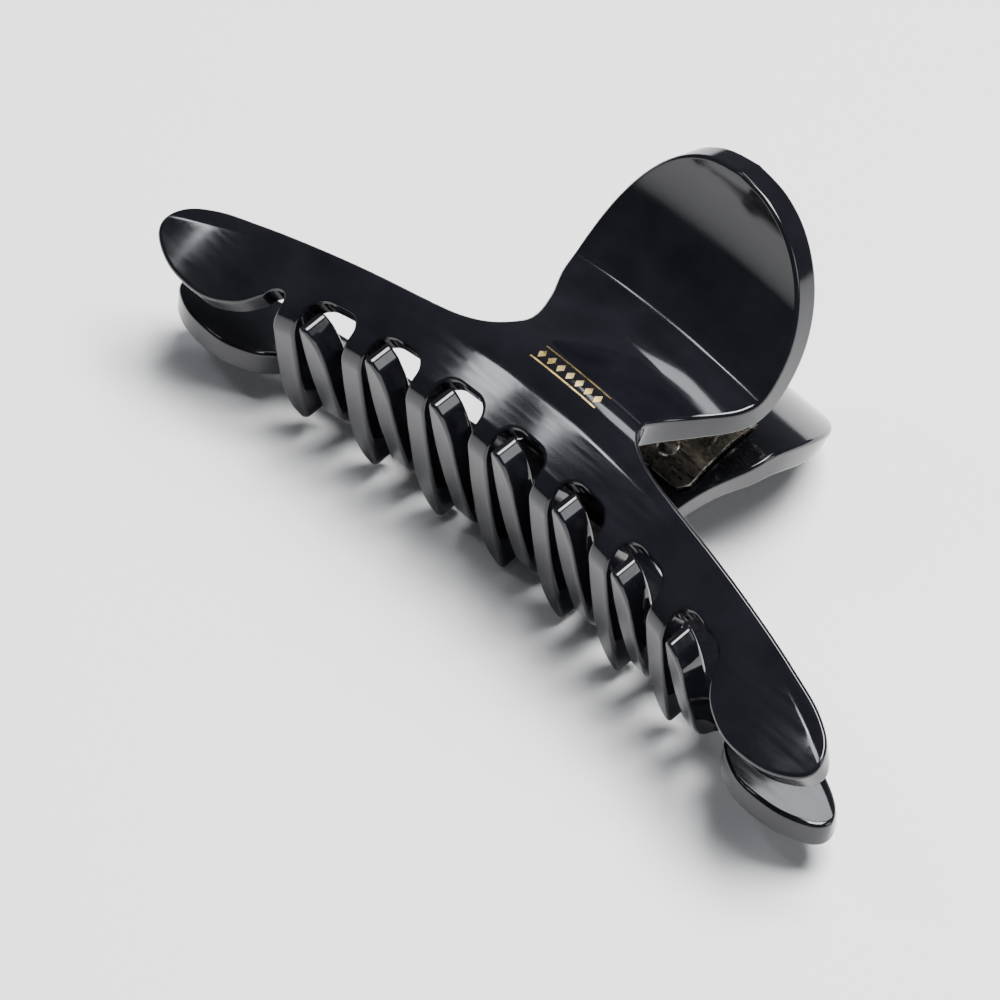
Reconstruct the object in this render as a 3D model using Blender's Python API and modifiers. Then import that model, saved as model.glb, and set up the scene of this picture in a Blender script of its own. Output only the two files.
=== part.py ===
"""Two-jaw hair claw clip.

Both jaws are the same blank of acetate sheet: a long web with arms that end in
rounded paddles, seven teeth under it, and a neck that widens into a finger pad.
The blank is drawn flat, then bent. The teeth turn in under the clip, the neck
leans in to the hinge and the pad leans out again. The second jaw is the first
one turned half a turn about the clip's upright axis, so the teeth interlock.

The clip's own axes: X along the web, Y from the front jaw to the rear jaw,
Z from the teeth to the pads, origin midway between the jaws. The finished clip
lies on its back, on the rear pad's tip and the tips of the front teeth, so
everything hangs under one tilted empty.

On the blank, x runs along the web and w runs up from the web's top edge line.
"""
import math

import bmesh
import bpy
import numpy as np
from mathutils import Matrix, Vector

MM = 0.001

# ---- sheet and bends ------------------------------------------------------
SHEET = 3.55 * MM          # thickness of the acetate
GAP = 0.3 * MM             # room left between pieces that touch
FACE_Y = -14.08 * MM       # outer face of the front jaw at w = 0
FACE_Z = 2.36 * MM
WEB_LEAN = -17.0           # degrees; the web leans out going up
TOOTH_LEAN = -84.1
TIP_LEAN = -93.9
NECK_LEAN = 37.5
CREASE_LEAN = -32.0
PAD_LEAN = -65.4
TIP_W = -34.6 * MM
TOOTH_BEND = (-11.95 * MM, -7.05 * MM)
FLAT_TOP_W = -1.5 * MM     # the web is flat from the tooth bend up to here
NECK_W = 6.0 * MM
THROAT_W = 14.4 * MM
CREASE = (18.8 * MM, 20.8 * MM)
PAD_W = 38.3 * MM

# (place up the blank, lean of the sheet there)
BENDS = (
    (TIP_W, TIP_LEAN),
    (TOOTH_BEND[0], TOOTH_LEAN),
    (TOOTH_BEND[1], WEB_LEAN),
    (FLAT_TOP_W, WEB_LEAN),
    (NECK_W, NECK_LEAN),
    (THROAT_W, 15.0),
    (CREASE[0], 0.0),
    (CREASE[1], CREASE_LEAN),
    (PAD_W, PAD_LEAN),
)
# Along the web, the arms curve in towards the other jaw and droop.
CURL_2, CURL_4 = 2.93, -363.0      # y = CURL_2 x^2 + CURL_4 x^4, in metres
DROOP_2, DROOP_4 = 1.89, 484.0

# ---- teeth ----------------------------------------------------------------
TEETH = 7
PITCH = 10.4 * MM
FIRST_TOOTH = -3.25 * PITCH        # a quarter pitch off centre
TOOTH_WIDE = 3.3 * MM
ROOT_W = -5.6 * MM                 # top of the gaps between teeth
ROOT_ROUND = 2.2 * MM
SHORTER = (6.2, 3.5, 1.3, 0.3, 0.9, 2.3, 5.9)   # mm off each tooth, first to last
PADDLE_X = 3.5 * PITCH             # past here the blank has no teeth

# ---- pad ------------------------------------------------------------------
PAD_HALF = 15.85 * MM
PAD_TALL = 19.28 * MM
PAD_MID_W = 21.46 * MM

# ---- hinge ----------------------------------------------------------------
HINGE_Z = 23.2 * MM
PIN_R = 0.8 * MM
PIN_HALF = 12.6 * MM
HEAD_R = 1.5 * MM
HEAD_THICK = 0.7 * MM
HOLE_R = 0.98 * MM
EAR_R = 2.1 * MM
LEAF_THICK = 0.7 * MM
LEAF_W = (11.4 * MM, 20.4 * MM)
OUTER_EAR = (10.5 * MM, 11.2 * MM)
INNER_EAR = (9.5 * MM, 10.2 * MM)
EAR_FOOT_W = (15.2 * MM, 19.6 * MM)
WIRE_R = 0.45 * MM
COIL_R = 2.3 * MM
COIL_HALF = 6.4 * MM
COIL_TURNS = 8
LEG_LEAN = 47.0                    # degrees off upright
LEG = 9.5 * MM
STUD_X = 5.6 * MM
STUD_W = 14.2 * MM
STUD_R = 0.75 * MM
STUD_HOLE_R = 1.05 * MM
STUD_HEAD_R = 1.5 * MM
STUD_HEAD = 0.5 * MM
STUD_DEPTH = 2.0 * MM              # how far a stud goes into the jaw

# ---- detail ---------------------------------------------------------------
ROUND_SIDES = 12
COIL_STEPS = 12
ARC_STEPS = 2
CURVE_STEPS = 2
BEND_STEP = 0.05 * MM              # spacing of the sampled bend line


def clear_scene():
    for obj in list(bpy.data.objects):
        bpy.data.objects.remove(obj, do_unlink=True)


def material(name, colour, roughness, metallic):
    made = bpy.data.materials.new(name)
    made.use_nodes = True
    shader = made.node_tree.nodes["Principled BSDF"]
    shader.inputs["Base Color"].default_value = (*colour, 1.0)
    shader.inputs["Roughness"].default_value = roughness
    shader.inputs["Metallic"].default_value = metallic
    made.diffuse_color = (*colour, 1.0)
    return made


# ---- the bent sheet -------------------------------------------------------
def bend_line(bends):
    """Outer face (w, y, z, lean) of a sheet bent as listed, sampled evenly."""
    w = np.arange(TIP_W - 2 * MM, PAD_W + 4 * MM, BEND_STEP)
    lean = np.radians(np.interp(w, [b[0] for b in bends], [b[1] for b in bends]))
    y = np.cumsum(np.sin(lean)) * BEND_STEP
    z = np.cumsum(np.cos(lean)) * BEND_STEP
    y += FACE_Y - np.interp(0.0, w, y)
    z += FACE_Z - np.interp(0.0, w, z)
    return w, y, z, lean


WITH_TEETH = bend_line(BENDS)
# The paddles have no tooth bend, so below the web they go straight on down.
NO_TEETH = bend_line(BENDS[2:])


def on_sheet(x, w, depth):
    """Point of the front jaw at blank place x, w, this deep from its outer face."""
    line = NO_TEETH if abs(x) > PADDLE_X else WITH_TEETH
    y, z, lean = (np.interp(w, line[0], values) for values in line[1:])
    y += depth * math.cos(lean) + CURL_2 * x ** 2 + CURL_4 * x ** 4
    z += -depth * math.sin(lean) - DROOP_2 * x ** 2 - DROOP_4 * x ** 4
    return Vector((x, y, z))


def smooth_path(points, steps):
    """Catmull-Rom path through the points."""
    ends = [points[0]] + list(points) + [points[-1]]
    path = []
    for a, b, c, d in zip(ends, ends[1:], ends[2:], ends[3:]):
        for step in range(steps):
            t = step / steps
            path.append(tuple(
                0.5 * (2 * q + (r - p) * t + (2 * p - 5 * q + 4 * r - s) * t ** 2
                       + (3 * q - p - 3 * r + s) * t ** 3)
                for p, q, r, s in zip(a, b, c, d)))
    path.append(tuple(points[-1]))
    return path


def arc(x, w, radius, start, end):
    """Points of an arc about x, w from one angle to another, in degrees."""
    angles = np.radians(np.linspace(start, end, ARC_STEPS + 1))
    return [(x + radius * math.cos(a), w + radius * math.sin(a)) for a in angles]


def pad_edge(angle):
    turn = math.radians(angle)
    return (PAD_HALF * math.cos(turn), PAD_MID_W + PAD_TALL * math.sin(turn))


def side_edge():
    """Right half of the outline, from the pad's top to the paddle's inner side."""
    pad = [pad_edge(angle) for angle in (90, 72, 54, 36, 18, 0)]
    neck = [(15.2, 17.6), (12.9, 13.4), (11.1, 9.0), (10.9, 5.4), (12.4, 2.9), (15.8, 1.3)]
    arm = [(21.0, 0.6), (28.5, 0.3), (37.0, 0.3), (45.0, 0.7), (50.6, 1.2), (54.2, 0.6)]
    paddle = [(55.5, -1.7), (54.1, -4.7), (50.1, -8.3), (44.7, -10.6), (40.4, -10.1),
              (38.0, -7.9)]
    return smooth_path(pad + [(x * MM, w * MM) for x, w in neck + arm + paddle], CURVE_STEPS)


def tooth_edge(centre, tip):
    """Outline of one tooth, right side to left: a straight side and a curved one."""
    half = TOOTH_WIDE / 2
    ends = [(1.0, 2.6), (0.9, 1.0), (0.45, 0.0), (-0.3, 0.9), (-0.75, 2.8), (-1.0, 6.0)]
    return [(centre + side * half, tip + up * MM) for side, up in ends]


def blank_outline():
    side = side_edge()
    low = ROOT_W - ROOT_ROUND
    half = TOOTH_WIDE / 2
    outline = list(side)
    outline += arc(side[-1][0] - ROOT_ROUND, low, ROOT_ROUND, 30, 90)
    for number in reversed(range(TEETH)):
        centre = FIRST_TOOTH + number * PITCH
        outline += arc(centre + half + ROOT_ROUND, low, ROOT_ROUND, 90, 180)
        outline += tooth_edge(centre, TIP_W + SHORTER[number] * MM)
        if number:
            outline += arc(centre - half - ROOT_ROUND, low, ROOT_ROUND, 0, 90)
    notch = (abs(FIRST_TOOTH) + half + abs(side[-1][0])) / 2
    notch_r = notch - abs(FIRST_TOOTH) - half
    outline += arc(-notch, side[-1][1], notch_r, 0, 150)
    outline += [(-x, w) for x, w in reversed(side[1:])]
    return outline


def cut_lines():
    """Where the blank is creased: across each bend, and along the curled web."""
    across = list(np.linspace(TIP_W * 0.72, TOOTH_BEND[0], 3))
    across += list(np.linspace(*TOOTH_BEND, 5))[1:]
    across += list(np.linspace(FLAT_TOP_W, NECK_W, 5))
    across += list(np.linspace(NECK_W, THROAT_W, 4))[1:]
    across += [(THROAT_W + CREASE[0]) / 2]
    across += list(np.linspace(*CREASE, 4))
    across += list(np.linspace(CREASE[1], PAD_W, 5))[1:-1]
    along = [side * k * PITCH / 2 for side in (-1, 1) for k in (1, 3, 5, 7, 8, 9, 10)]
    return across, along


def bent_plate(outline, depths, across, along):
    """Mesh of a flat outline, creased along the lines and bent to the jaw's shape."""
    bm = bmesh.new()
    bm.faces.new([bm.verts.new((x, w, 0.0)) for x, w in outline])
    bmesh.ops.triangulate(bm, faces=bm.faces[:])
    lines = [((0, w, 0), (0, 1, 0)) for w in across] + [((x, 0, 0), (1, 0, 0)) for x in along]
    for place, normal in lines:
        bmesh.ops.bisect_plane(bm, geom=bm.verts[:] + bm.edges[:] + bm.faces[:],
                               plane_co=place, plane_no=normal, dist=1e-7)
    bmesh.ops.dissolve_edges(bm, edges=[e for e in bm.edges if not kept(e, across, along)],
                             use_verts=False)
    bmesh.ops.triangulate(bm, faces=bm.faces[:])
    top = bmesh.ops.extrude_face_region(bm, geom=bm.faces[:])
    for vert in top["geom"]:
        if isinstance(vert, bmesh.types.BMVert):
            vert.co.z = 1.0
    for vert in bm.verts:
        vert.co = on_sheet(vert.co.x, vert.co.y, depths[1] if vert.co.z > 0.5 else depths[0])
    bmesh.ops.triangulate(bm, faces=bm.faces[:])
    bmesh.ops.recalc_face_normals(bm, faces=bm.faces[:])
    return bm


def kept(edge, across, along):
    """True for an edge of the outline and for one that lies on a crease line."""
    if edge.is_boundary:
        return True
    a, b = (vert.co for vert in edge.verts)
    near = 1e-6
    on_across = abs(a.y - b.y) < near and min(abs(a.y - w) for w in across) < near
    on_along = abs(a.x - b.x) < near and min(abs(a.x - x) for x in along) < near
    return on_across or on_along


def mesh_of(bm, name):
    mesh = bpy.data.meshes.new(name)
    bm.to_mesh(mesh)
    bm.free()
    return mesh


# ---- round and cut pieces -------------------------------------------------
def along_x(start, end, radius, y, z):
    """Mesh of a round bar along X."""
    bm = bmesh.new()
    turn = Matrix.Rotation(math.radians(90), 4, "Y")
    place = Matrix.Translation(((start + end) / 2, y, z))
    bmesh.ops.create_cone(bm, cap_ends=True, segments=ROUND_SIDES, radius1=radius,
                          radius2=radius, depth=abs(end - start), matrix=place @ turn)
    return bm


def into_sheet(x, w, shallow, deep, radius):
    """Mesh of a round bar square to the sheet, between two depths."""
    a = on_sheet(x, w, shallow)
    b = on_sheet(x, w, deep)
    turn = (b - a).to_track_quat("Z", "X").to_matrix().to_4x4()
    bm = bmesh.new()
    bmesh.ops.create_cone(bm, cap_ends=True, segments=ROUND_SIDES, radius1=radius,
                          radius2=radius, depth=(b - a).length,
                          matrix=Matrix.Translation((a + b) / 2) @ turn)
    return bm


def boolean(obj, bm, operation, name):
    """Joins or cuts obj with a mesh, which stays as a hidden guide."""
    cutter = bpy.data.objects.new(name, mesh_of(bm, name))
    cutters.objects.link(cutter)
    cutter.hide_render = True
    cutter.display_type = "WIRE"
    cutter.parent = obj.parent
    cutter.matrix_parent_inverse = obj.matrix_parent_inverse
    cutter.matrix_basis = obj.matrix_basis
    modifier = obj.modifiers.new(name, "BOOLEAN")
    modifier.operation = operation
    modifier.solver = "EXACT"
    modifier.object = cutter


def placed(name, mesh, slot, parent, half_turn):
    """Object under one of the two hinge empties, turned about Z for the rear jaw."""
    obj = bpy.data.objects.new(name, mesh)
    clip.objects.link(obj)
    if not mesh.materials:
        mesh.materials.append(slot)
    obj.parent = parent
    obj.matrix_basis = (Matrix.Translation((0, 0, -HINGE_Z))
                        @ Matrix.Rotation(math.pi * half_turn, 4, "Z"))
    return obj


def ear(span):
    """Lug that reaches from the leaf to the pin, this far along X."""
    depth = SHEET + GAP + LEAF_THICK / 2
    bm = bmesh.new()
    for x in span:
        for turn in np.linspace(0, math.tau, ROUND_SIDES, endpoint=False):
            bm.verts.new((x, EAR_R * math.cos(turn), HINGE_Z + EAR_R * math.sin(turn)))
        for w in EAR_FOOT_W:
            foot = on_sheet(OUTER_EAR[0], w, depth)
            bm.verts.new((x, foot.y, foot.z))
    hull = bmesh.ops.convex_hull(bm, input=bm.verts[:])
    inside = [v for v in hull["geom_interior"] if isinstance(v, bmesh.types.BMVert)]
    bmesh.ops.delete(bm, geom=inside, context="VERTS")
    bmesh.ops.recalc_face_normals(bm, faces=bm.faces[:])
    return bm


def jaw(name, parent, half_turn, mesh):
    obj = placed(name, mesh, acetate, parent, half_turn)
    for side, x in (("left", -STUD_X), ("right", STUD_X)):
        hole = into_sheet(x, STUD_W, SHEET - STUD_DEPTH - GAP, SHEET + GAP, STUD_HOLE_R)
        boolean(obj, hole, "DIFFERENCE", name + "_hole_" + side)
    return obj


def leaf(name, parent, half_turn):
    """Stamped plate on the inside of a neck, with one inner and one outer lug."""
    edge = OUTER_EAR[1]
    low, high = LEAF_W
    cut = 1.2 * MM
    outline = [(-edge, low + cut), (-edge + cut, low), (edge - cut, low), (edge, low + cut),
               (edge, high), (-edge, high)]
    across = np.linspace(low, high, 7)[1:-1]
    plate = bent_plate(outline, (SHEET + GAP, SHEET + GAP + LEAF_THICK), across, (-edge / 2, edge / 2))
    obj = placed(name, mesh_of(plate, name), nickel, parent, half_turn)
    boolean(obj, ear(OUTER_EAR), "UNION", name + "_outer_lug")
    boolean(obj, ear((-INNER_EAR[0], -INNER_EAR[1])), "UNION", name + "_inner_lug")
    bore = along_x(-PIN_HALF, PIN_HALF, HOLE_R, 0.0, HINGE_Z)
    boolean(obj, bore, "DIFFERENCE", name + "_bore")
    for side, x in (("left", -STUD_X), ("right", STUD_X)):
        hole = into_sheet(x, STUD_W, SHEET - GAP, SHEET + 2 * LEAF_THICK + GAP, STUD_HOLE_R)
        boolean(obj, hole, "DIFFERENCE", name + "_hole_" + side)
    return obj


def turned_bar(name, profile):
    """Object turned about its own Z from (radius, height) points, top to bottom."""
    mesh = bpy.data.meshes.new(name)
    bm = bmesh.new()
    verts = [bm.verts.new((radius, 0.0, height)) for radius, height in profile]
    for a, b in zip(verts, verts[1:]):
        bm.edges.new((a, b))
    bm.to_mesh(mesh)
    bm.free()
    obj = bpy.data.objects.new(name, mesh)
    clip.objects.link(obj)
    screw = obj.modifiers.new("turn", "SCREW")
    screw.axis = "Z"
    screw.angle = math.tau
    screw.steps = ROUND_SIDES
    screw.render_steps = ROUND_SIDES
    screw.use_merge_vertices = True
    screw.merge_threshold = 0.00001
    mesh.materials.append(nickel)
    return obj


def stud(name, parent, half_turn, x):
    """Headed stud that holds a leaf to its jaw."""
    outer = SHEET + GAP + LEAF_THICK + GAP + STUD_HEAD
    head = outer - STUD_HEAD
    tail = SHEET - STUD_DEPTH
    obj = turned_bar(name, [(0.0, outer), (STUD_HEAD_R * 0.8, outer),
                            (STUD_HEAD_R, (outer + head) / 2), (STUD_HEAD_R, head),
                            (STUD_R, head), (STUD_R, tail + STUD_R), (STUD_R / 2, tail),
                            (0.0, tail)])
    face = on_sheet(x, STUD_W, 0.0)
    inward = (on_sheet(x, STUD_W, SHEET) - face).normalized()
    stand = Matrix.Translation(face) @ inward.to_track_quat("Z", "X").to_matrix().to_4x4()
    obj.parent = parent
    obj.matrix_basis = (Matrix.Translation((0, 0, -HINGE_Z))
                        @ Matrix.Rotation(math.pi * half_turn, 4, "Z") @ stand)
    return obj


def coil_points():
    """Centre line of the spring: a leg, the coil round the pin and the other leg."""
    lean = math.radians(LEG_LEAN)
    leave = math.pi + lean           # where the front leg meets the coil
    sweep = math.tau * COIL_TURNS + math.pi - 2 * lean
    steps = round(sweep / math.tau * COIL_STEPS)
    coil = []
    for step in range(steps + 1):
        part = step / steps
        turn = leave + sweep * part
        coil.append(Vector((COIL_HALF * (2 * part - 1), COIL_R * math.cos(turn),
                            COIL_R * math.sin(turn))))
    front = coil[0] + Vector((0, -math.sin(lean), math.cos(lean))) * LEG
    rear = coil[-1] + Vector((0, math.sin(lean), math.cos(lean))) * LEG
    return [front] + coil + [rear]


def spring(name, parent):
    points = coil_points()
    curve = bpy.data.curves.new(name, "CURVE")
    curve.dimensions = "3D"
    curve.bevel_depth = WIRE_R
    curve.bevel_resolution = 2
    curve.use_fill_caps = True
    line = curve.splines.new("POLY")
    line.points.add(len(points) - 1)
    for point, place in zip(line.points, points):
        point.co = (*place, 1.0)
    curve.materials.append(steel)
    obj = bpy.data.objects.new(name, curve)
    clip.objects.link(obj)
    obj.parent = parent
    return obj


def pin(name, parent):
    half = PIN_HALF
    neck = half - HEAD_THICK
    obj = turned_bar(name, [(0.0, half), (HEAD_R * 0.7, half), (HEAD_R, half - HEAD_THICK / 2),
                            (HEAD_R, neck), (PIN_R, neck), (PIN_R, -neck), (HEAD_R, -neck),
                            (HEAD_R, HEAD_THICK / 2 - half), (HEAD_R * 0.7, -half), (0.0, -half)])
    obj.parent = parent
    obj.rotation_euler = (0, math.radians(90), 0)
    return obj


def empty(name, parent, location):
    obj = bpy.data.objects.new(name, None)
    clip.objects.link(obj)
    obj.parent = parent
    obj.location = location
    return obj


def rest_tilt():
    """Angle that brings a front tooth's tip level with the rear pad's tip."""
    middle = TEETH // 2
    tooth = on_sheet(FIRST_TOOTH + middle * PITCH, TIP_W + SHORTER[middle] * MM, 0.0)
    pad = on_sheet(0.0, PAD_MID_W + PAD_TALL, 0.0)
    return -math.atan2(pad.z - tooth.z, -pad.y - tooth.y)


def stand_on_origin(root):
    """Moves the whole clip so that its box stands centred on the origin."""
    bpy.context.view_layer.update()
    shots = bpy.context.evaluated_depsgraph_get()
    corners = []
    for obj in clip.objects:
        if obj.type == "EMPTY":
            continue
        seen = obj.evaluated_get(shots)
        mesh = seen.to_mesh()
        corners += [seen.matrix_world @ vert.co for vert in mesh.vertices]
        seen.to_mesh_clear()
    low = [min(c[axis] for c in corners) for axis in range(3)]
    high = [max(c[axis] for c in corners) for axis in range(3)]
    root.location = (-(low[0] + high[0]) / 2, -(low[1] + high[1]) / 2, -low[2])


clear_scene()
clip = bpy.data.collections.new("hair_claw_clip")
cutters = bpy.data.collections.new("cutters")
bpy.context.scene.collection.children.link(clip)
bpy.context.scene.collection.children.link(cutters)

acetate = material("black_acetate", (0.006, 0.006, 0.008), 0.08, 0.0)
nickel = material("dark_nickel", (0.42, 0.39, 0.34), 0.3, 1.0)
steel = material("spring_steel", (0.36, 0.34, 0.31), 0.28, 1.0)

root = empty("clip_tilt", None, (0, 0, 0))
root.rotation_euler = (rest_tilt(), 0, 0)
rear_side = empty("rear_side", root, (0, 0, HINGE_Z))
front_side = empty("front_side", root, (0, 0, HINGE_Z))

jaw_mesh = mesh_of(bent_plate(blank_outline(), (0.0, SHEET), *cut_lines()), "jaw")
jaw("front_jaw", front_side, 0, jaw_mesh)
jaw("rear_jaw", rear_side, 1, jaw_mesh)
leaf("front_hinge_leaf", front_side, 0)
leaf("rear_hinge_leaf", rear_side, 1)
for side, x in (("left", -STUD_X), ("right", STUD_X)):
    stud("front_leaf_stud_" + side, front_side, 0, x)
    stud("rear_leaf_stud_" + side, rear_side, 1, -x)
pin("hinge_pin", rear_side)
spring("torsion_spring", rear_side)
stand_on_origin(root)
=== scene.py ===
"""Looks of the two-jaw hair claw clip: polished black acetate jaws, a dark nickel
hinge with its spring, and a small gold ornament on the front jaw.

The clip's own axes: X along the web, Y from the front jaw to the rear jaw, Z from
the teeth to the pads. Both jaws are one flat blank bent to shape, where x runs
along the web and w runs up from the web's top edge line. All sizes are in metres.
"""

import math

import bmesh
import bpy
import numpy as np
from mathutils import Matrix, Vector
from mathutils.geometry import convex_hull_2d


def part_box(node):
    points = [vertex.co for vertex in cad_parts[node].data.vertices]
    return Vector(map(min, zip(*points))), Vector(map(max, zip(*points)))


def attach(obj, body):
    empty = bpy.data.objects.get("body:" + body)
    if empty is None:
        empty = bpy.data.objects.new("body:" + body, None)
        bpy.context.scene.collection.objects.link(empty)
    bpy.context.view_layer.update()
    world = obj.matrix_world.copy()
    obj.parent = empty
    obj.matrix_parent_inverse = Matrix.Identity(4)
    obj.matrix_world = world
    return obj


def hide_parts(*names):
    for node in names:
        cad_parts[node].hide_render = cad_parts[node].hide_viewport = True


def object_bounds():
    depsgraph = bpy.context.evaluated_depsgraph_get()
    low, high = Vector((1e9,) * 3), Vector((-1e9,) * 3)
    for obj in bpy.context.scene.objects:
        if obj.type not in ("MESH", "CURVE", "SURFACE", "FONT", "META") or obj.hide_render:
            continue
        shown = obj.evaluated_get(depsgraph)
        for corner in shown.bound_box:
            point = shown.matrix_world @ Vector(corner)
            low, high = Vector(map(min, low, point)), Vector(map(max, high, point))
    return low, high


MM = 0.001

# ---- sheet and bends ------------------------------------------------------
SHEET = 3.55 * MM
GAP = 0.3 * MM
FACE_Y = -14.08 * MM
FACE_Z = 2.36 * MM
TIP_W = -34.6 * MM
TOOTH_BEND = (-11.95 * MM, -7.05 * MM)
WEB_FLAT_W = -1.5 * MM
NECK_W = 6.0 * MM
THROAT_W = 14.4 * MM
CREASE = (18.8 * MM, 20.8 * MM)
PAD_W = 38.3 * MM
WEB_LEAN = -17.0
# (place up the blank, lean of the sheet there in degrees, 0 upright)
BENDS = (
    (TIP_W, -93.9),
    (TOOTH_BEND[0], -84.1),
    (TOOTH_BEND[1], WEB_LEAN),
    (WEB_FLAT_W, WEB_LEAN),
    (NECK_W, 37.5),
    (THROAT_W, 15.0),
    (CREASE[0], 0.0),
    (CREASE[1], -32.0),
    (PAD_W, -65.4),
)
CURL_2, CURL_4 = 2.93, -363.0       # how the arms curve in, y = CURL_2 x^2 + CURL_4 x^4
DROOP_2, DROOP_4 = 1.89, 484.0      # and how they droop

# ---- teeth and pad --------------------------------------------------------
TEETH = 7
PITCH = 10.4 * MM
FIRST_TOOTH = -3.25 * PITCH
TOOTH_WIDE = 3.3 * MM
NOSE_R = 0.85 * MM
ROOT_W = -5.6 * MM
ROOT_ROUND = 2.2 * MM
SHORTER = (6.2, 3.5, 1.3, 0.3, 0.9, 2.3, 5.9)    # mm off each tooth, first to last
PADDLE_X = 3.5 * PITCH
PAD_HALF = 15.85 * MM
PAD_TALL = 19.28 * MM
PAD_MID_W = 21.46 * MM

# ---- hinge ----------------------------------------------------------------
HINGE_Z = 23.2 * MM
PIN_R = 0.8 * MM
PIN_HALF = 12.6 * MM
HEAD_R = 1.5 * MM
HEAD_THICK = 0.7 * MM
HOLE_R = 0.98 * MM
EAR_R = 2.1 * MM
LEAF_THICK = 0.7 * MM
LEAF_W = (11.4 * MM, 20.4 * MM)
LEAF_ROUND = 0.12 * MM
OUTER_EAR = (10.5 * MM, 11.2 * MM)
INNER_EAR = (9.5 * MM, 10.2 * MM)
EAR_FOOT_W = (15.2 * MM, 19.6 * MM)
WIRE_R = 0.45 * MM
COIL_R = 2.3 * MM
COIL_HALF = 6.4 * MM
COIL_TURNS = 8
LEG_LEAN = 47.0
LEG = 9.5 * MM
STUD_X = 5.6 * MM
STUD_W = 14.2 * MM
STUD_HEAD_R = 1.5 * MM
STUD_HEAD = 0.5 * MM

# ---- ornament -------------------------------------------------------------
ORNAMENT_X = 0.3 * MM
ORNAMENT_W = 3.3 * MM
ORNAMENT_HALF = 5.4 * MM
ORNAMENT_TALL = 2.6 * MM
FOIL_LINE = 0.22 * MM
LOZENGES = 7
LOZENGE_SPAN = 0.86       # share of the ornament's width between the end lozenges
LOZENGE_X, LOZENGE_W = 0.5 * MM, 0.8 * MM
FOIL = 0.03 * MM

# ---- finish ---------------------------------------------------------------
EDGE_ROUND = 0.5 * MM
EDGE_STEPS = 4
CURVE_STEPS = 6
ARC_STEPS = 8
ROUND_SIDES = 40
COIL_STEPS = 28
BEND_STEP = 0.02 * MM
GRID_X = PITCH / 10
GRID_W = 0.8 * MM

# ---- view -----------------------------------------------------------------
AZIMUTH, ELEVATION, ROLL = 43.52, 47.01, 5.33
CAMERA_AIM = Vector((-1.33, -19.18, 13.05)) * MM
CAMERA_AWAY = 655 * MM
LENS = 203.3
FLOOR_HALF = 3.0
FLOOR_DROP = 0.3 * MM
WORLD = 0.12
# name, azimuth, elevation, distance, width, height, watts, colour
SOFTBOXES = (
    ("overhead", 140, 78, 0.9, 0.5, 0.5, 24.0, (1.0, 1.0, 1.0)),
    ("key", -48, 57, 0.8, 0.05, 0.09, 0.22, (0.92, 0.96, 1.0)),
    ("key_low", -54, 50.5, 0.8, 0.04, 0.06, 0.13, (0.92, 0.96, 1.0)),
    ("key_high", -44, 60, 0.8, 0.04, 0.04, 0.10, (0.92, 0.96, 1.0)),
    ("back", -150, 52, 0.8, 0.2, 0.16, 0.9, (0.92, 0.96, 1.0)),
    ("right_side", 115, 25, 0.9, 0.3, 0.3, 1.5, (0.95, 0.97, 1.0)),
)


# ---- the bent sheet -------------------------------------------------------
def bend_line(bends):
    """Outer face (w, y, z, lean) of a sheet bent as listed, sampled evenly."""
    w = np.arange(TIP_W - 2 * MM, PAD_W + 4 * MM, BEND_STEP)
    lean = np.radians(np.interp(w, [b[0] for b in bends], [b[1] for b in bends]))
    y = np.cumsum(np.sin(lean)) * BEND_STEP
    z = np.cumsum(np.cos(lean)) * BEND_STEP
    y += FACE_Y - np.interp(0.0, w, y)
    z += FACE_Z - np.interp(0.0, w, z)
    return w, y, z, lean


WITH_TEETH = bend_line(BENDS)
NO_TEETH = bend_line(BENDS[2:])


def bent(flat):
    """Points of the front jaw for rows of (x, w, depth from the outer face)."""
    x, w, depth = np.asarray(flat, dtype=float).T
    y, z, lean = (np.where(abs(x) > PADDLE_X, np.interp(w, NO_TEETH[0], plain),
                           np.interp(w, WITH_TEETH[0], toothed))
                  for plain, toothed in zip(NO_TEETH[1:], WITH_TEETH[1:]))
    y = y + depth * np.cos(lean) + CURL_2 * x ** 2 + CURL_4 * x ** 4
    z = z - depth * np.sin(lean) - DROOP_2 * x ** 2 - DROOP_4 * x ** 4
    return np.column_stack((x, y, z))


def bent_normals(flat, normals):
    """The same rows' normals, carried from the flat plate to the bent one."""
    nudge = 0.01 * MM
    along_x, along_w, inward = (bent(flat + step) - bent(flat - step)
                                for step in np.eye(3) * nudge)
    turned = (normals[:, :1] * np.cross(along_w, inward)
              + normals[:, 1:2] * np.cross(inward, along_x)
              + normals[:, 2:] * np.cross(along_x, along_w))
    # Blank axes x, w, depth are left-handed in the clip, which flips the products.
    return -turned / np.linalg.norm(turned, axis=1)[:, None]


def on_sheet(x, w, depth):
    """One point of the front jaw, as a vector."""
    return Vector(bent([(x, w, depth)])[0])


def rest_tilt():
    """Angle that brings a front tooth's tip level with the rear pad's tip."""
    middle = TEETH // 2
    tooth = on_sheet(FIRST_TOOTH + middle * PITCH, TIP_W + SHORTER[middle] * MM, 0.0)
    pad = on_sheet(0.0, PAD_MID_W + PAD_TALL, 0.0)
    return -math.atan2(pad.z - tooth.z, -pad.y - tooth.y)


def smooth_path(points, steps):
    """Catmull-Rom path through the points."""
    ends = [points[0]] + list(points) + [points[-1]]
    path = []
    for a, b, c, d in zip(ends, ends[1:], ends[2:], ends[3:]):
        for step in range(steps):
            t = step / steps
            path.append(tuple(
                0.5 * (2 * q + (r - p) * t + (2 * p - 5 * q + 4 * r - s) * t ** 2
                       + (3 * q - p - 3 * r + s) * t ** 3)
                for p, q, r, s in zip(a, b, c, d)))
    path.append(tuple(points[-1]))
    return path


def arc(x, w, radius, start, end):
    """Points round a circle at x, w, from one angle in degrees to the other."""
    angles = np.radians(np.linspace(start, end, ARC_STEPS + 1))
    return [(x + radius * math.cos(a), w + radius * math.sin(a)) for a in angles]


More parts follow.
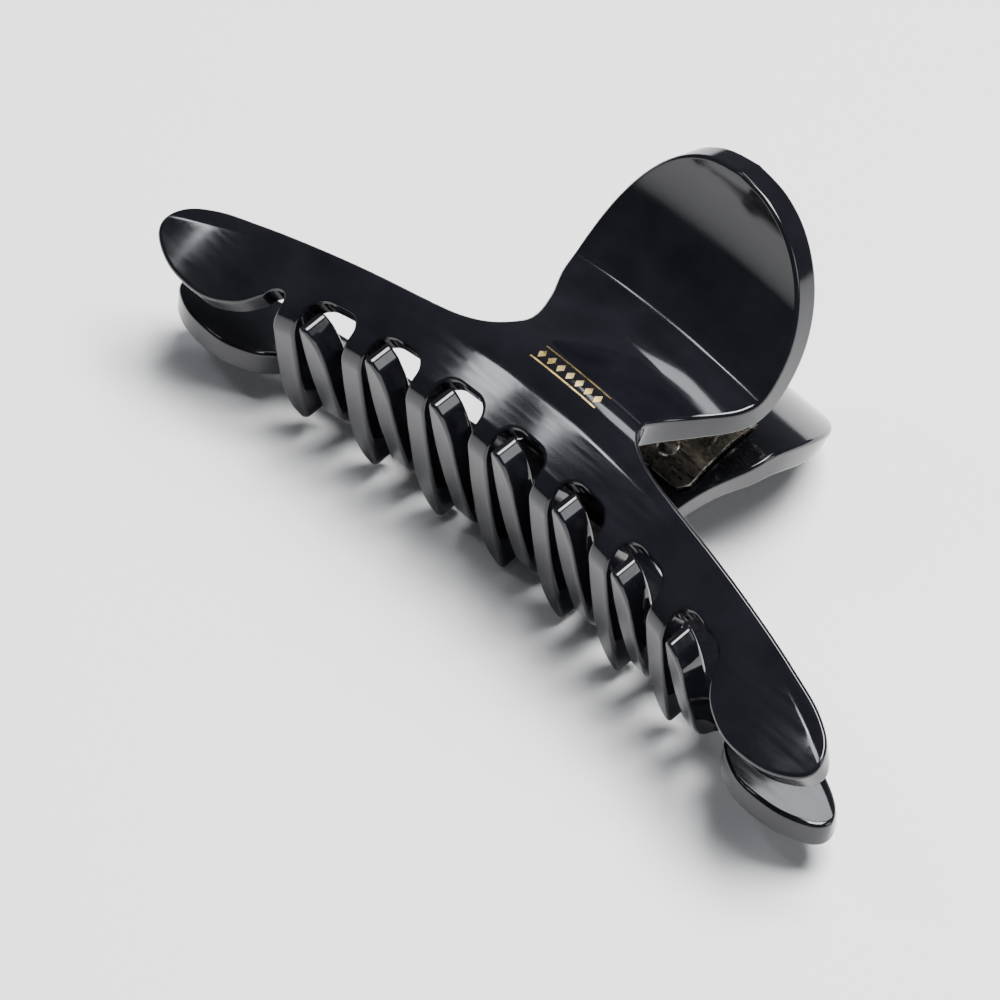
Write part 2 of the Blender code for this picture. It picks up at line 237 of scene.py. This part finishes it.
def pad_edge(angle):
    """Point of the oval pad at an angle in degrees from its right side."""
    turn = math.radians(angle)
    return (PAD_HALF * math.cos(turn), PAD_MID_W + PAD_TALL * math.sin(turn))


def side_edge():
    """Right half of the outline, from the pad's top to the paddle's inner side."""
    pad = [pad_edge(angle) for angle in (90, 72, 54, 36, 18, 0)]
    neck = [(15.2, 17.6), (12.9, 13.4), (11.1, 9.0), (10.9, 5.4), (12.4, 2.9), (15.8, 1.3)]
    arm = [(21.0, 0.6), (28.5, 0.3), (37.0, 0.3), (45.0, 0.7), (50.6, 1.2), (54.2, 0.6)]
    paddle = [(55.5, -1.7), (54.1, -4.7), (50.1, -8.3), (44.7, -10.6), (40.4, -10.1),
              (38.0, -7.9)]
    return smooth_path(pad + [(x * MM, w * MM) for x, w in neck + arm + paddle], CURVE_STEPS)


def tooth_edge(centre, tip):
    """Outline of one tooth: straight down its right side, round a small nose and
    up the long curve of its left side."""
    half = TOOTH_WIDE / 2
    nose = arc(centre + half - NOSE_R, tip + NOSE_R, NOSE_R, 0, -120)
    back = [(-0.6, 1.35), (-1.2, 3.05), (-1.55, 4.9), (-1.65, 6.8)]
    back = [(centre + x * MM, tip + up * MM) for x, up in back]
    return nose[:-1] + smooth_path([nose[-1]] + back, CURVE_STEPS)


def blank_outline():
    """Whole outline of a jaw's blank, clockwise from the top of the pad."""
    side = side_edge()
    low = ROOT_W - ROOT_ROUND
    half = TOOTH_WIDE / 2
    outline = list(side)
    outline += arc(side[-1][0] - ROOT_ROUND, low, ROOT_ROUND, 8, 90)
    for number in reversed(range(TEETH)):
        centre = FIRST_TOOTH + number * PITCH
        outline += arc(centre + half + ROOT_ROUND, low, ROOT_ROUND, 90, 180)
        outline += tooth_edge(centre, TIP_W + SHORTER[number] * MM)
        if number:
            outline += arc(centre - half - ROOT_ROUND, low, ROOT_ROUND, 0, 90)
    notch = (abs(FIRST_TOOTH) + half + abs(side[-1][0])) / 2
    notch_r = notch - abs(FIRST_TOOTH) - half
    outline += arc(-notch, side[-1][1], notch_r, 0, 165)
    outline += [(-x, w) for x, w in reversed(side[1:])]
    return outline


def edge_rings(outline, depths, edge_round):
    """Rings of points round a plate's edge, from one broad face over to the other."""
    flat = np.array(outline)
    run = np.roll(flat, -1, axis=0) - np.roll(flat, 1, axis=0)
    run /= np.linalg.norm(run, axis=1)[:, None]
    out = np.column_stack((run[:, 1], -run[:, 0]))
    ahead = np.roll(flat, -1, axis=0)
    if np.sum(flat[:, 0] * ahead[:, 1] - ahead[:, 0] * flat[:, 1]) < 0:
        out = -out
    rings = []
    for end, inward in ((0, 1), (1, -1)):
        turns = np.linspace(0, math.pi / 2, EDGE_STEPS + 1)
        for turn in (turns if end == 0 else turns[::-1]):
            place = flat - out * edge_round * (1 - math.sin(turn))
            depth = depths[end] + inward * edge_round * (1 - math.cos(turn))
            rings.append([((*p, depth), (*(o * math.sin(turn)), -inward * math.cos(turn)))
                          for p, o in zip(place, out)])
    return rings


def bent_plate(name, outline, depths, edge_round, grid):
    """Mesh of a flat outline with rounded edges, bent to the jaw's shape."""
    bm = bmesh.new()
    facing = bm.verts.layers.float_vector.new("facing")
    rings = []
    for ring in edge_rings(outline, depths, edge_round):
        rings.append([bm.verts.new(place) for place, normal in ring])
        for vert, (place, normal) in zip(rings[-1], ring):
            vert[facing] = normal
    for below, above in zip(rings, rings[1:]):
        for a, b, c, d in zip(below, below[1:] + below[:1], above[1:] + above[:1], above):
            bm.faces.new((a, b, c, d))
    # Triangulate the two broad faces, cut them by the grid, then clear the triangles.
    drawn = set(bm.edges)
    broad = [bm.faces.new(rings[0]), bm.faces.new(rings[-1])]
    bmesh.ops.recalc_face_normals(bm, faces=bm.faces[:])
    bmesh.ops.triangulate(bm, faces=broad)
    for edge in bm.edges:
        edge.seam = edge not in drawn
    across, along = grid
    lines = [((0, w, 0), (0, 1, 0)) for w in across] + [((x, 0, 0), (1, 0, 0)) for x in along]
    for place, normal in lines:
        bmesh.ops.bisect_plane(bm, geom=bm.verts[:] + bm.edges[:] + bm.faces[:],
                               plane_co=place, plane_no=normal, dist=1e-7)
    bmesh.ops.dissolve_edges(bm, edges=[e for e in bm.edges if e.seam], use_verts=False)
    bmesh.ops.triangulate(bm, faces=[f for f in bm.faces if len(f.verts) > 4])
    flat = np.array([tuple(vert.co) for vert in bm.verts])
    normals = bent_normals(flat, np.array([tuple(vert[facing]) for vert in bm.verts]))
    for vert, place in zip(bm.verts, bent(flat)):
        vert.co = place
    bmesh.ops.reverse_faces(bm, faces=bm.faces[:])
    for face in bm.faces:
        face.smooth = True
    mesh = mesh_of(bm, name)
    mesh.normals_split_custom_set_from_vertices([tuple(normal) for normal in normals])
    return mesh


def jaw_grid():
    """Where the broad faces are cut, so that they follow the bends and the curl."""
    across = list(np.arange(TOOTH_BEND[1] + GRID_W, PAD_MID_W + PAD_TALL, GRID_W))
    across += list(np.linspace(*TOOTH_BEND, 13))
    across += list(np.linspace(TIP_W + GRID_W, TOOTH_BEND[0] - GRID_W, 10))
    reach = int(PADDLE_X * 1.55 / GRID_X)
    return across, [k * GRID_X for k in range(-reach, reach + 1)]


def mesh_of(bm, name):
    mesh = bpy.data.meshes.new(name)
    bm.to_mesh(mesh)
    bm.free()
    return mesh


# ---- materials ------------------------------------------------------------
def principled(name, colour, roughness, metallic, ior):
    made = bpy.data.materials.new(name)
    made.use_nodes = True
    shader = made.node_tree.nodes["Principled BSDF"]
    shader.inputs["Base Color"].default_value = (*colour, 1.0)
    shader.inputs["Roughness"].default_value = roughness
    shader.inputs["Metallic"].default_value = metallic
    shader.inputs["IOR"].default_value = ior
    return made, made.node_tree, shader


def noise(tree, scale, detail, stretch=(1, 1, 1)):
    """Noise value in the object's own space, finer along the stretched axes."""
    place = tree.nodes.new("ShaderNodeTexCoord")
    warp = tree.nodes.new("ShaderNodeMapping")
    warp.inputs["Scale"].default_value = stretch
    grain = tree.nodes.new("ShaderNodeTexNoise")
    grain.inputs["Scale"].default_value = scale
    grain.inputs["Detail"].default_value = detail
    tree.links.new(place.outputs["Object"], warp.inputs["Vector"])
    tree.links.new(warp.outputs["Vector"], grain.inputs["Vector"])
    return grain.outputs["Fac"]


def spread(tree, value, low, high, start=0.3, end=0.7):
    """Maps a noise value onto a range."""
    ramp = tree.nodes.new("ShaderNodeMapRange")
    ramp.inputs["From Min"].default_value = start
    ramp.inputs["From Max"].default_value = end
    ramp.inputs["To Min"].default_value = low
    ramp.inputs["To Max"].default_value = high
    tree.links.new(value, ramp.inputs["Value"])
    return ramp.outputs["Result"]


def mixed(tree, value, dark, light):
    blend = tree.nodes.new("ShaderNodeMix")
    blend.data_type = "RGBA"
    blend.inputs["A"].default_value = (*dark, 1.0)
    blend.inputs["B"].default_value = (*light, 1.0)
    tree.links.new(value, blend.inputs["Factor"])
    return blend.outputs["Result"]


def bumps(tree, shader, layers):
    """Adds bump layers of (height value, strength, distance), one on the next."""
    normal = None
    for height, strength, distance in layers:
        bump = tree.nodes.new("ShaderNodeBump")
        bump.inputs["Strength"].default_value = strength
        bump.inputs["Distance"].default_value = distance
        tree.links.new(height, bump.inputs["Height"])
        if normal:
            tree.links.new(normal, bump.inputs["Normal"])
        normal = bump.outputs["Normal"]
    tree.links.new(normal, shader.inputs["Normal"])


def acetate_material():
    """Tumble-polished black sheet: slow waves, faint swirls and finer hairlines."""
    made, tree, shader = principled("black_acetate", (0.005, 0.005, 0.007), 0.08, 0.0, 1.49)
    swirl = noise(tree, 180, 3)
    hair = noise(tree, 700, 2, (0.15, 2.0, 2.0))
    colour = mixed(tree, spread(tree, swirl, 0.0, 1.0), (0.0035, 0.0035, 0.005),
                   (0.007, 0.0072, 0.010))
    tree.links.new(colour, shader.inputs["Base Color"])
    tree.links.new(spread(tree, hair, 0.05, 0.11), shader.inputs["Roughness"])
    bumps(tree, shader, [(noise(tree, 60, 1), 0.35, 0.06 * MM), (hair, 0.03, 0.01 * MM)])
    return made


def metal_material(name, dark, light, low, high, stretch):
    """Worn plated metal: stained colour, and fine grain in the roughness."""
    made, tree, shader = principled(name, light, low, 1.0, 1.5)
    grain = noise(tree, 900, 3, stretch)
    stain = noise(tree, 650, 3)
    tree.links.new(mixed(tree, spread(tree, stain, 0.0, 1.0), dark, light),
                   shader.inputs["Base Color"])
    tree.links.new(spread(tree, grain, low, high), shader.inputs["Roughness"])
    bumps(tree, shader, [(grain, 0.25, 0.02 * MM), (stain, 0.1, 0.02 * MM)])
    return made


# ---- pieces ---------------------------------------------------------------
def stand(half_turn):
    """Places a piece made in the clip's own axes, turned for the rear half."""
    low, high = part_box("hinge_pin")
    hinge = (Vector(low) + Vector(high)) / 2
    return (Matrix.Translation(hinge) @ Matrix.Rotation(rest_tilt(), 4, "X")
            @ Matrix.Translation((0, 0, -HINGE_Z)) @ Matrix.Rotation(math.pi * half_turn, 4, "Z"))


def piece(name, data, look, half_turn, nodes):
    """Object from data in the clip's axes, laid down as the clip rests."""
    data.transform(stand(half_turn))
    obj = bpy.data.objects.new(name, data)
    bpy.context.scene.collection.objects.link(obj)
    if not data.materials:
        data.materials.append(look)
    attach(obj, "rear_half" if half_turn else "front_half")
    if nodes:
        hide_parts(*nodes)


def hinge_leaf(name, half_turn):
    """Stamped plate inside a neck, and its two lugs as pieces of their own."""
    edge = OUTER_EAR[1]
    low, high = LEAF_W
    cut = 1.2 * MM
    outline = [(-edge, low + cut), (-edge + cut, low), (edge - cut, low), (edge, low + cut),
               (edge, high), (-edge, high)]
    grid = (np.linspace(low, high, 14)[1:-1], np.linspace(-edge, edge, 12)[1:-1])
    depths = (SHEET + GAP, SHEET + GAP + LEAF_THICK)
    plate = bent_plate(name, outline, depths, LEAF_ROUND, grid)
    piece(name, plate, nickel, half_turn, [name[:-len("_fine")]])
    for hand, start, end in (("outer", *OUTER_EAR), ("inner", -INNER_EAR[1], -INNER_EAR[0])):
        lug = name + "_lug_" + hand
        piece(lug, lug_mesh(lug, start, end), nickel, half_turn, [])


def lug_mesh(name, start, end):
    """Lug from a leaf to the pin: the hull of a ring and its foot, with a bore."""
    points = [Vector((EAR_R * math.cos(a), EAR_R * math.sin(a)))
              for a in np.linspace(0, math.tau, ROUND_SIDES, endpoint=False)]
    for w in EAR_FOOT_W:
        foot = on_sheet(OUTER_EAR[0], w, SHEET + GAP + LEAF_THICK / 2)
        points.append(Vector((foot.y, foot.z - HINGE_Z)))
    hull = [points[i] for i in convex_hull_2d(points)]
    bore = [Vector((HOLE_R * math.cos(a), HOLE_R * math.sin(a)))
            for a in np.linspace(0, math.tau, ROUND_SIDES, endpoint=False)]
    curve = bpy.data.curves.new(name, "CURVE")
    curve.dimensions = "2D"
    curve.fill_mode = "BOTH"
    curve.extrude = (end - start) / 2 - LEAF_ROUND
    curve.bevel_depth = LEAF_ROUND
    curve.bevel_resolution = 2
    curve.offset = -LEAF_ROUND
    for ring in (hull, bore):
        line = curve.splines.new("POLY")
        line.points.add(len(ring) - 1)
        line.use_cyclic_u = True
        for point, place in zip(line.points, ring):
            point.co = (place.x, place.y, 0.0, 1.0)
    shape = bpy.data.objects.new(name, curve)
    bpy.context.scene.collection.objects.link(shape)
    bpy.context.view_layer.update()
    mesh = bpy.data.meshes.new_from_object(shape.evaluated_get(
        bpy.context.evaluated_depsgraph_get()))
    bpy.data.objects.remove(shape)
    # The outline was drawn in Y and Z, so its flat X, Y becomes Y, Z and its depth X.
    mesh.transform(Matrix.Translation(((start + end) / 2, 0, HINGE_Z))
                   @ Matrix(((0, 0, 1, 0), (1, 0, 0, 0), (0, 1, 0, 0), (0, 0, 0, 1))))
    return mesh


def turned_mesh(name, profile):
    """Mesh turned about Z from (radius, height) points, top to bottom."""
    bm = bmesh.new()
    verts = [bm.verts.new((radius, 0.0, height)) for radius, height in profile]
    edges = [bm.edges.new(pair) for pair in zip(verts, verts[1:])]
    bmesh.ops.spin(bm, geom=verts + edges, cent=(0, 0, 0), axis=(0, 0, 1),
                   angle=math.tau, steps=ROUND_SIDES, use_merge=True)
    bmesh.ops.remove_doubles(bm, verts=bm.verts[:], dist=1e-7)
    bmesh.ops.recalc_face_normals(bm, faces=bm.faces[:])
    for face in bm.faces:
        face.smooth = True
    mesh = mesh_of(bm, name)
    mesh.set_sharp_from_angle(angle=math.radians(40))
    return mesh


def domed(radius, top, bottom):
    """Half profile of a rounded rivet head, from its crown down to its rim."""
    turns = np.radians(np.linspace(90, 0, 7))
    tall = (top - bottom) * 0.8
    return [(radius * math.cos(a), top - tall + tall * math.sin(a)) for a in turns] + [
        (radius, bottom)]


def stud(name, half_turn, x, node):
    """Domed head of a stud on the inside of a leaf."""
    base = SHEET + GAP + LEAF_THICK
    head = domed(STUD_HEAD_R, base + GAP + STUD_HEAD, base + GAP / 2)
    mesh = turned_mesh(name, head + [(PIN_R, base + GAP / 2), (PIN_R, SHEET - MM), (0, SHEET - MM)])
    face = on_sheet(x, STUD_W, 0.0)
    inward = (on_sheet(x, STUD_W, SHEET) - face).normalized()
    mesh.transform(Matrix.Translation(face)
                   @ inward.to_track_quat("Z", "X").to_matrix().to_4x4())
    piece(name, mesh, nickel, half_turn, [node])


def hinge_pin():
    """Straight pin along X with a domed head at each end."""
    half = PIN_HALF
    top = domed(HEAD_R, half, half - HEAD_THICK)
    profile = top + [(PIN_R, half - HEAD_THICK), (PIN_R, HEAD_THICK - half)]
    profile += [(radius, -height) for radius, height in reversed(top)]
    mesh = turned_mesh("hinge_pin_turned", profile)
    mesh.transform(Matrix.Translation((0, 0, HINGE_Z))
                   @ Matrix.Rotation(math.radians(90), 4, "Y"))
    piece("hinge_pin_turned", mesh, nickel, 1, ["hinge_pin"])


def wire(name, points, half_turn, nodes):
    """Round wire along points given in the clip's axes."""
    curve = bpy.data.curves.new(name, "CURVE")
    curve.dimensions = "3D"
    curve.bevel_depth = WIRE_R
    curve.bevel_resolution = 4
    curve.use_fill_caps = True
    line = curve.splines.new("POLY")
    line.points.add(len(points) - 1)
    turn = Matrix.Rotation(-math.pi * half_turn, 4, "Z")
    for point, place in zip(line.points, points):
        point.co = (*(turn @ (place + Vector((0, 0, HINGE_Z)))), 1.0)
    piece(name, curve, steel, half_turn, nodes)


def spring():
    """Coil and rear leg ride with the rear jaw, and the front leg with the front jaw."""
    lean = math.radians(LEG_LEAN)
    leave = math.pi + lean
    sweep = math.tau * COIL_TURNS + math.pi - 2 * lean
    steps = round(sweep / math.tau * COIL_STEPS)
    coil = []
    for step in range(steps + 1):
        part = step / steps
        turn = leave + sweep * part
        coil.append(Vector((COIL_HALF * (2 * part - 1), COIL_R * math.cos(turn),
                            COIL_R * math.sin(turn))))
    up = Vector((0, 0, math.cos(lean)))
    out = Vector((0, math.sin(lean), 0))
    wire("spring_coil", coil + [coil[-1] + (up + out) * LEG], 1, ["torsion_spring"])
    wire("spring_front_leg", [coil[3], coil[1], coil[0], coil[0] + (up - out) * LEG], 0, [])


def ornament():
    """Row of gold lozenges between two fine lines, set in the front jaw's web."""
    joined = bmesh.new()
    grid = (np.arange(-6 * MM, 9 * MM, 0.5 * MM), np.arange(-8 * MM, 9 * MM, MM))
    shapes = []
    for side in (-1, 1):
        w = ORNAMENT_W + side * ORNAMENT_TALL / 2
        shapes.append([(-ORNAMENT_HALF, w), (ORNAMENT_HALF, w),
                       (ORNAMENT_HALF, w + FOIL_LINE), (-ORNAMENT_HALF, w + FOIL_LINE)])
    for number in range(LOZENGES):
        x = ORNAMENT_HALF * (2 * number / (LOZENGES - 1) - 1) * LOZENGE_SPAN
        shapes.append([(x - LOZENGE_X, ORNAMENT_W), (x, ORNAMENT_W - LOZENGE_W),
                       (x + LOZENGE_X, ORNAMENT_W), (x, ORNAMENT_W + LOZENGE_W)])
    for shape in shapes:
        moved = [(x + ORNAMENT_X, w) for x, w in shape]
        joined.from_mesh(bent_plate("foil", moved, (-FOIL, FOIL), FOIL / 4, grid))
    piece("gold_ornament", mesh_of(joined, "gold_ornament"), gold, 0, [])


# ---- light, floor and camera ----------------------------------------------
def around(azimuth, elevation, distance):
    """Point at an angle round the clip. Azimuth 0 is on -Y, and 90 on +X."""
    a, e = math.radians(azimuth), math.radians(elevation)
    return Vector((math.sin(a) * math.cos(e), -math.cos(a) * math.cos(e), math.sin(e))) * distance


def softbox(name, azimuth, elevation, distance, wide, tall, power, colour):
    light = bpy.data.lights.new(name, "AREA")
    light.shape = "RECTANGLE"
    light.size = wide
    light.size_y = tall
    light.energy = power
    light.color = colour
    obj = bpy.data.objects.new(name, light)
    bpy.context.scene.collection.objects.link(obj)
    obj.location = around(azimuth, elevation, distance)
    obj.rotation_euler = (-obj.location).to_track_quat("-Z", "Y").to_euler()


def floor(height):
    bm = bmesh.new()
    bmesh.ops.create_grid(bm, x_segments=8, y_segments=8, size=FLOOR_HALF)
    obj = bpy.data.objects.new("floor", mesh_of(bm, "floor"))
    bpy.context.scene.collection.objects.link(obj)
    obj.location.z = height
    made, tree, shader = principled("pale_floor", (0.90, 0.90, 0.91), 0.6, 0.0, 1.4)
    tree.links.new(spread(tree, noise(tree, 40, 3), 0.55, 0.68), shader.inputs["Roughness"])
    obj.data.materials.append(made)


def camera():
    """Long lens on the clip, from its front and its +X side and well above it."""
    data = bpy.data.cameras.new("camera")
    data.lens = LENS
    data.clip_end = 10
    obj = bpy.data.objects.new("camera", data)
    bpy.context.scene.collection.objects.link(obj)
    back = around(AZIMUTH, ELEVATION, CAMERA_AWAY)
    turn = back.to_track_quat("Z", "Y").to_matrix().to_4x4()
    roll = Matrix.Rotation(math.radians(ROLL), 4, "Z")
    obj.matrix_world = Matrix.Translation(CAMERA_AIM + back) @ turn @ roll
    bpy.context.scene.camera = obj


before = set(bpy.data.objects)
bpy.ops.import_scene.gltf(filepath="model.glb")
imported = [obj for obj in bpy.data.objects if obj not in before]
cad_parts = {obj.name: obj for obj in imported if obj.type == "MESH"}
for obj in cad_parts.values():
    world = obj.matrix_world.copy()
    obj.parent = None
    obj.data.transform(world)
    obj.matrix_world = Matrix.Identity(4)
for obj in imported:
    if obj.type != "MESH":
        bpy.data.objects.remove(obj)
cad_box = [list(corner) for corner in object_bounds()]

acetate = acetate_material()
nickel = metal_material("dark_nickel", (0.34, 0.32, 0.28), (0.52, 0.49, 0.43), 0.18, 0.38,
                        (0.3, 3, 3))
steel = metal_material("spring_steel", (0.26, 0.24, 0.21), (0.55, 0.51, 0.44), 0.16, 0.3,
                       (1, 1, 1))
gold = metal_material("gold_foil", (0.62, 0.42, 0.13), (0.90, 0.70, 0.32), 0.22, 0.42,
                      (1, 1, 1))

jaw_mesh = bent_plate("jaw", blank_outline(), (0.0, SHEET), EDGE_ROUND, jaw_grid())
for side, half_turn in (("front", 0), ("rear", 1)):
    piece(side + "_jaw_shell", jaw_mesh.copy(), acetate, half_turn, [side + "_jaw"])
    hinge_leaf(side + "_hinge_leaf_fine", half_turn)
    for hand, x in (("left", -STUD_X), ("right", STUD_X)):
        place = x if half_turn == 0 else -x
        stud(side + "_stud_" + hand, half_turn, place, side + "_leaf_stud_" + hand)
hinge_pin()
spring()
ornament()

floor(cad_box[0][2] - FLOOR_DROP)
for box in SOFTBOXES:
    softbox(*box)
world = bpy.data.worlds.new("studio")
world.use_nodes = True
world.node_tree.nodes["Background"].inputs["Color"].default_value = (0.9, 0.94, 1.0, 1.0)
world.node_tree.nodes["Background"].inputs["Strength"].default_value = WORLD
bpy.context.scene.world = world
camera()
